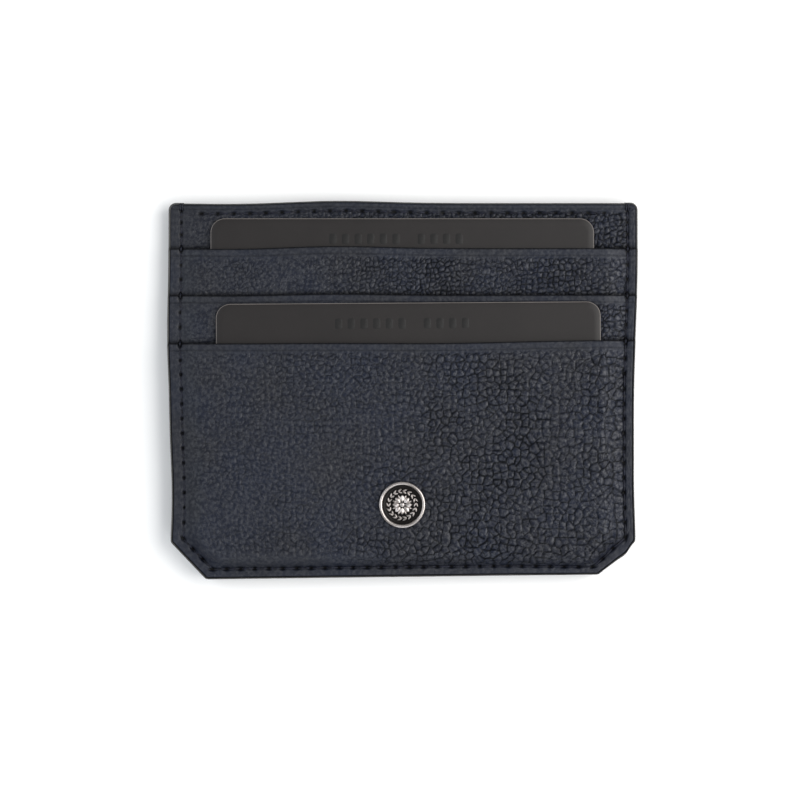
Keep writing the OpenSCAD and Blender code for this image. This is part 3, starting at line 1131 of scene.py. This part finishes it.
def petal_mesh(angle, inner, length, width, low, high):
    """A pointed petal with a ridge along its middle."""
    along, across = 14, 7
    s, t = np.meshgrid(np.linspace(0, 1, along + 1), np.linspace(-1, 1, across + 1), indexing="ij")
    bow = np.sin(np.pi * s)
    half = width / 2 * bow**0.75 + 0.012
    ridge = (1 - np.abs(t)) ** 0.8 * (0.55 + 0.45 * bow)
    z = low + (high - low) * (0.25 + 0.75 * ridge)
    upper = np.stack([inner + length * s, half * t, z], -1).reshape(-1, 3)
    lower = upper * [1, 1, 0] + [0, 0, low - 0.06]
    at, quads = grid_quads(along + 1, across + 1)
    n = len(upper)
    faces = [(a, d, c, b) for a, b, c, d in quads] + (quads[:, [1, 2, 3, 0]] + n).tolist()
    for side in borders(at):
        faces += [(a, b, b + n, a + n) for a, b in zip(side, side[1:])]
    return turned(np.concatenate([upper, lower]), angle), faces


def dome_mesh(r, low, high, segments=32):
    """A low dome on a short wall."""
    wall = low + 0.02
    profile = [(0, low), (r, low), (r, wall)]
    profile += [(r * math.cos(a), wall + (high - wall) * math.sin(a))
                for a in np.linspace(0.3, 1.4, 5)]
    profile.append((0, high))
    return lathe(profile, segments)


PETALS = 8
LEAVES = 18
LEAF_TILT = 0.42
WREATH = 0.71  # the wreath's radius and its leaves' distance from it, as shares of the field's
LEAF_OUT = 0.055


def leaf_mesh(angle, radius, tilt, length, width, low, high):
    """A petal that lies along the ring of that radius, turned a little out of it."""
    along = angle + math.pi / 2 + tilt
    points, faces = petal_mesh(along, -length / 2, length, width, low, high)
    return points + [radius * math.cos(angle), radius * math.sin(angle), 0], faces


def rosette_mesh():
    """Broad petals with narrow ones between them, a centre boss and a wreath of leaves."""
    low, high = FIELD_HIGH[2] - 0.08, ROSETTE_HIGH[2]
    r = FIELD_R
    parts = [dome_mesh(r * 0.13, low, high)]
    for i in range(PETALS):
        angle = 2 * math.pi * i / PETALS
        between = angle + math.pi / PETALS
        parts.append(petal_mesh(angle, r * 0.14, r * 0.36, r * 0.25, low, high))
        parts.append(petal_mesh(between, r * 0.34, r * 0.2, r * 0.1, low, high - 0.08))
    for i in range(LEAVES):
        angle = 2 * math.pi * i / LEAVES
        for side in (-1, 1):
            radius = r * (WREATH + LEAF_OUT * side)
            parts.append(leaf_mesh(angle, radius, side * LEAF_TILT, r * 0.24, r * 0.1, low,
                                   high - 0.06))
    return join(parts)


# ---- cards


def rounded_outline(w, h, r, inset, steps):
    """Points round a rounded rectangle, drawn in by inset."""
    x, y = w / 2 - r, h / 2 - r
    points = []
    for cx, cy, start in ((x, y, 0), (-x, y, 90), (-x, -y, 180), (x, -y, 270)):
        points += arc_points(cx, cy, r - inset, start, start + 90, steps)
    return points


CARD_BEVEL = 0.16
CARD_RIM = 1.6  # width of the ring of faces inside the bevel


def rounded_stack(w, h, r, levels, steps=10):
    """A solid through rounded rectangles that are drawn in by an inset at each height, and the
    number of points round each."""
    points = []
    for inset, z in levels:
        points += [(x, y, z) for x, y in rounded_outline(w, h, r, inset, steps)]
    n = 4 * steps
    return np.array(points), stack_faces(len(levels), n), n


def card_mesh():
    """A card with rounded corners and softened edges."""
    b, t, s = CARD_BEVEL, CARD_T, 0.3 * CARD_BEVEL
    levels = [(CARD_RIM, 0), (b, 0), (s, s), (0, b), (0, t - b), (s, t - s), (b, t), (CARD_RIM, t)]
    return rounded_stack(CARD_W, CARD_H, CARD_R, levels)


MARK_GROUPS = (6, 4)
MARK_PITCH = 2.82
MARK_W = 1.6
MARK_H = 2.4
MARK_DOWN = 4.6  # from the card's top edge to the marks' middle
MARK_LEFT = 1.4  # from the card's middle to the marks' middle
MARK_SINK = 0.05
MARK_RISE = 0.02


def marks_mesh():
    """Two groups of small plain bars under the card's top edge, near its middle."""
    high = CARD_T + MARK_RISE
    levels = [(0, CARD_T - MARK_SINK), (0, high - 0.01), (0.04, high)]
    bar, faces, _ = rounded_stack(MARK_W, MARK_H, 0.3 * MARK_W, levels, 4)
    x = -sum(MARK_GROUPS) / 2 * MARK_PITCH - MARK_LEFT
    parts = []
    for count in MARK_GROUPS:
        for _ in range(count):
            parts.append((bar + [x, CARD_H / 2 - MARK_DOWN, 0], faces))
            x += MARK_PITCH
        x += MARK_PITCH
    return join(parts)


def lay_card(node, body, turn, plastic, core, ink):
    """A card and its marks, where the CAD card lies. The core shows on the card's edge."""
    low, high = box_mm(node)
    place = [*(low + high)[:2] / 2, low[2]]
    points, faces, n = card_mesh()
    shape = (turned(points, turn) + place, faces)
    card = make_piece(f"{node}_plastic", shape, plastic, [node], body,
                      settled=False)
    card.data.materials.append(core)
    caps, edge_rings = 2, 5
    first_edge = caps + n
    for face in card.data.polygons[first_edge:first_edge + edge_rings * n]:
        face.material_index = 1
    points, faces = marks_mesh()
    shape = (turned(points, turn) + place, faces)
    make_piece(f"{node}_marks", shape, ink, [], body, settled=False)


# ---- the whole holder


SHOWN_BELOW = 3.0  # how far below the next slot's edge a layer keeps its grain
SEEDS = {"front": 11, "back": 12}


def thread_piece(face, kind, parts, thread):
    """All stitches of one kind on one face, as one piece."""
    nodes = [f"{face}_{kind}_stitching"]
    make_piece(f"{face}_{kind}_thread", join(parts), thread, nodes)


def build_face(face, leather, lining, thread):
    """The layers and the stitches of one face."""
    layers = LAYERS[face]
    rows = edge_rows([layer.top_y for layer in layers])
    rng = np.random.default_rng(SEEDS[face])
    for layer in layers:
        holes = [h for index, points in rows if index == layer.index for h in slits(points)]
        visible = layer.top_y + MOUTH_Y
        if layer.index == 0:
            holes += slits(mouth_row())
        if layer.covered_to is not None:
            visible = layer.top_y - layer.covered_to + SHOWN_BELOW
        leather_piece(layer, holes, leather, visible)
        lining_piece(layer, lining)

    parts = edge_stitch_parts(layers, rows, rng)
    if face == "front":
        parts += mouth_wraps()
    thread_piece(face, "edge", parts, thread)
    base = layers[0]
    parts = row_stitches(base, mouth_row(), base.under_middle + base.t, rng)
    thread_piece(face, "mouth", parts, thread)
    parts = []
    for index, holes in floor_rows(layers):
        height = seam_height(layers[index]) + NOTE_RISE
        parts += row_stitches(layers[index], holes, height, rng)
    thread_piece(face, "floor", parts, thread)


def build_edges(paint):
    """The painted edge round the seam, and those along the mouth."""
    path = resample(outline_path(), EDGE_STEP)
    joints = [layer.z(layer.under_seam) for face in LAYERS.values() for layer in face]
    band = painted_band(path, stack_low_high, joints=joints, around=49)
    make_piece("painted_edge", band, paint, [])
    for face in ("front", "back"):
        reach = SLOPE_X + MOUTH_EDGE_STEP
        path = resample([(reach, MOUTH_Y), (-reach, MOUTH_Y)], MOUTH_EDGE_STEP)
        band = painted_band(path, mouth_low_high(face), inset=0.3)
        make_piece(f"{face}_mouth_edge", band, paint, [])


def build_badge(nickel, enamel):
    for name, (points, faces), material, node, slot in (
        ("badge_rim_metal", badge_rim_mesh(), nickel, "badge_rim", "nickel"),
        ("badge_enamel", badge_field_mesh(), enamel, "badge_field", "enamel"),
        ("badge_rosette_metal", rosette_mesh(), nickel, "badge_rosette", "nickel"),
    ):
        shape = (points + BADGE_AT, faces)
        make_piece(name, shape, material, [node], settled=False)
    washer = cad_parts["badge_washer"].data
    washer.materials.clear()
    washer.materials.append(nickel)


def build_holder():
    leather, lining, thread = leather_material(), lining_material(), thread_material()
    for face in ("front", "back"):
        build_face(face, leather, lining, thread)
    build_edges(paint_material())
    build_badge(nickel_material(), enamel_material())
    plastic = card_material("card_plastic", (0.0062, 0.0046, 0.0045), (0.0075, 0.0057, 0.0055))
    core = card_material("card_core", (0.1, 0.09, 0.083), (0.13, 0.115, 0.108))
    ink = card_material("card_marks", (0.0022, 0.0018, 0.0018), (0.003, 0.0026, 0.0026))
    lay_card("upper_card", "upper_card_body", 0.0, plastic, core, ink)
    lay_card("lower_card", "lower_card_body", LOWER_TURN, plastic, core, ink)


# ---- floor, light and camera


FLOOR_R = 4.0  # metres, as are the lights' places and sizes
FLOOR_POINTS = 64


def build_floor():
    """A wide pale disc."""
    mesh = bpy.data.meshes.new("floor")
    angles = [2 * math.pi * k / FLOOR_POINTS for k in range(FLOOR_POINTS)]
    ring = [(FLOOR_R * math.cos(a), FLOOR_R * math.sin(a), 0) for a in angles]
    mesh.from_pydata(ring, [], [tuple(range(FLOOR_POINTS))])
    mesh.materials.append(floor_material())
    floor = bpy.data.objects.new("floor", mesh)
    bpy.context.scene.collection.objects.link(floor)


def area_light(name, place, side, power, colour):
    """A square light that faces the origin."""
    light = bpy.data.lights.new(name, "AREA")
    light.shape = "RECTANGLE"
    light.size = side
    light.size_y = side
    light.energy = power
    light.color = colour
    lamp = bpy.data.objects.new(name, light)
    bpy.context.scene.collection.objects.link(lamp)
    lamp.location = place
    lamp.rotation_euler = (-Vector(place)).to_track_quat("-Z", "Y").to_euler()


def build_light():
    """Three soft lights and a pale surround."""
    area_light("key", (0.42, 0.03, 0.42), 0.62, 5.0, (1.0, 0.985, 0.96))
    area_light("fill", (-0.6, 0.1, 0.4), 0.6, 2.2, (0.88, 0.94, 1.0))
    area_light("front", (0.1, -0.55, 0.35), 0.5, 1.5, (0.92, 0.96, 1.0))
    world = bpy.data.worlds.new("studio")
    world.use_nodes = True
    background = world.node_tree.nodes["Background"]
    background.inputs["Color"].default_value = (0.98, 0.99, 1, 1)
    background.inputs["Strength"].default_value = 0.62
    bpy.context.scene.world = world
    bpy.context.scene.view_settings.view_transform = "Standard"


LENS = 135.0
SENSOR = 36.0
VIEW_WIDTH = 179.0  # at the height of the plane between the faces
VIEW_CENTRE = (-0.5, -2.25)


def build_camera():
    """A camera straight above."""
    data = bpy.data.cameras.new("camera")
    data.lens, data.sensor_width = LENS, SENSOR
    camera = bpy.data.objects.new("camera", data)
    bpy.context.scene.collection.objects.link(camera)
    distance = VIEW_WIDTH * LENS / SENSOR
    camera.location = (VIEW_CENTRE[0] * MM, VIEW_CENTRE[1] * MM, (PLANE_Z + distance) * MM)
    bpy.context.scene.camera = camera


build_floor()
build_camera()
build_light()
build_holder()
